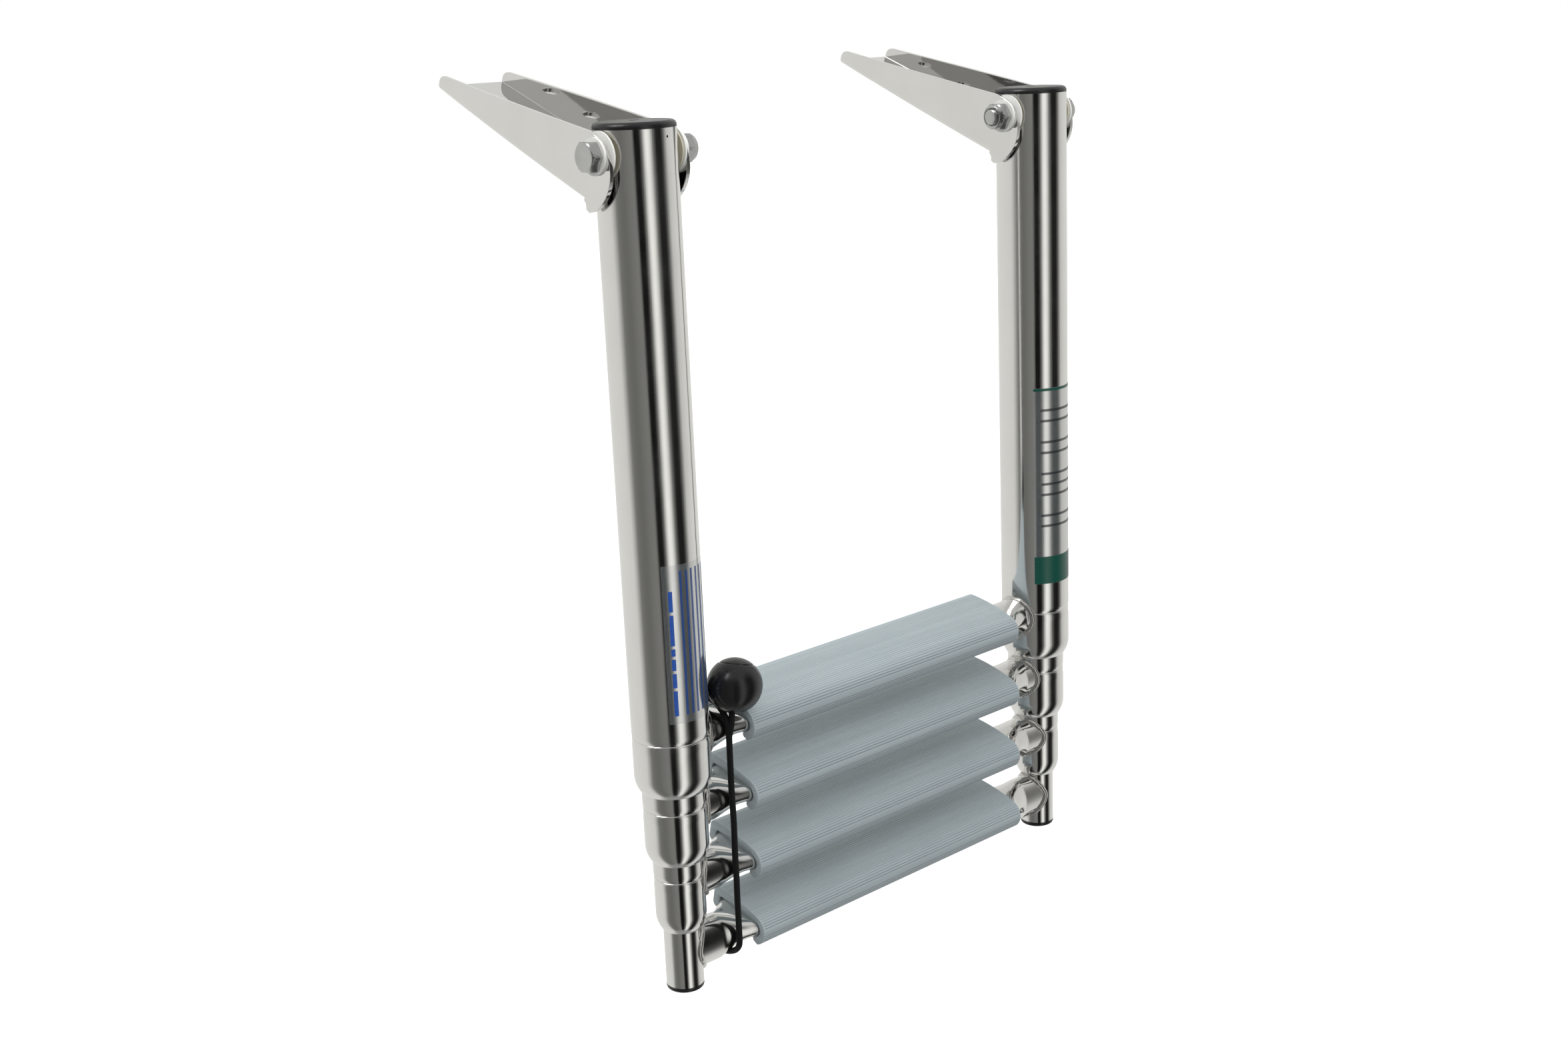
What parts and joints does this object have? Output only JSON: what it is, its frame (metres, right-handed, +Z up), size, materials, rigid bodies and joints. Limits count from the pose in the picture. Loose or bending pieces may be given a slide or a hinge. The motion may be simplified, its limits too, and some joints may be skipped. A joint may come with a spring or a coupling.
{
  "type": "telescoping boat boarding ladder",
  "caption": "Fold-over telescoping boat boarding ladder with stepped tubes, ribbed treads, hinged side brackets and a cord that keeps it closed.",
  "frame": {"origin": "bottom centre of the closed, hanging ladder's box, level with the foot caps and midway between the two brackets; the fold axis is 412.1 mm above it and 48.95 mm in front of it", "axes": "+Z up along the hanging tubes, +X along the rungs (towards the right-hand bracket seen by the climber), -Y towards the climber, +Y towards the boat"},
  "size_m": [0.3308, 0.1554, 0.4471],
  "materials": {
    "stainless_steel": "polished",
    "weld_steel": "satin",
    "fastener_steel": "satin",
    "white_nylon": "satin",
    "natural_nylon": "satin",
    "guide_plastic": "satin",
    "tread_plastic": "satin",
    "cap_plastic": "gloss",
    "label_film": "gloss",
    "ball_plastic": "satin",
    "cord_sheath": "braided"
  },
  "bodies": {
    "brackets": {"left_bracket": "stainless_steel", "right_bracket": "stainless_steel", "hinge_bolts": "fastener_steel", "hinge_nuts": "fastener_steel", "hinge_outer_washers": "white_nylon", "hinge_inner_washers": "white_nylon"},
    "section_1": {"tube_1_left": "stainless_steel", "tube_1_right": "stainless_steel", "collar_1_left": "stainless_steel", "collar_1_right": "stainless_steel", "guide_bushings_1": "guide_plastic", "hinge_bushes": "natural_nylon", "top_cap_left": "cap_plastic", "top_cap_right": "cap_plastic", "rung_1": "stainless_steel", "weld_beads_1": "weld_steel", "tread_1": "tread_plastic", "label_left": "label_film", "label_right": "label_film", "bungee_ball": "ball_plastic", "bungee_cord": "cord_sheath"},
    "section_2": {"tube_2_left": "stainless_steel", "tube_2_right": "stainless_steel", "collar_2_left": "stainless_steel", "collar_2_right": "stainless_steel", "guide_bushings_2": "guide_plastic", "slide_rings_2": "guide_plastic", "rung_2": "stainless_steel", "weld_beads_2": "weld_steel", "tread_2": "tread_plastic"},
    "section_3": {"tube_3_left": "stainless_steel", "tube_3_right": "stainless_steel", "collar_3_left": "stainless_steel", "collar_3_right": "stainless_steel", "guide_bushings_3": "guide_plastic", "slide_rings_3": "guide_plastic", "rung_3": "stainless_steel", "weld_beads_3": "weld_steel", "tread_3": "tread_plastic"},
    "section_4": {"tube_4_left": "stainless_steel", "tube_4_right": "stainless_steel", "slide_rings_4": "guide_plastic", "rung_4": "stainless_steel", "weld_beads_4": "weld_steel", "tread_4": "tread_plastic", "bottom_caps": "cap_plastic"}
  },
  "joints": [
    {"name": "fold_hinge", "type": "hinge", "parent": "brackets", "child": "section_1", "pos_m": [0, -0.04895, 0.4121], "axis": [-1, 0, 0], "range_deg": [0, 247]},
    {"name": "section_2_slide", "type": "slide", "parent": "section_1", "child": "section_2", "axis": [0, 0, -1], "range_m": [0, 0.235], "deforming": ["bungee_cord"]},
    {"name": "section_3_slide", "type": "slide", "parent": "section_2", "child": "section_3", "axis": [0, 0, -1], "range_m": [0, 0.235], "deforming": ["bungee_cord"]},
    {"name": "section_4_slide", "type": "slide", "parent": "section_3", "child": "section_4", "axis": [0, 0, -1], "range_m": [0, 0.235], "deforming": ["bungee_cord"]}
  ]
}
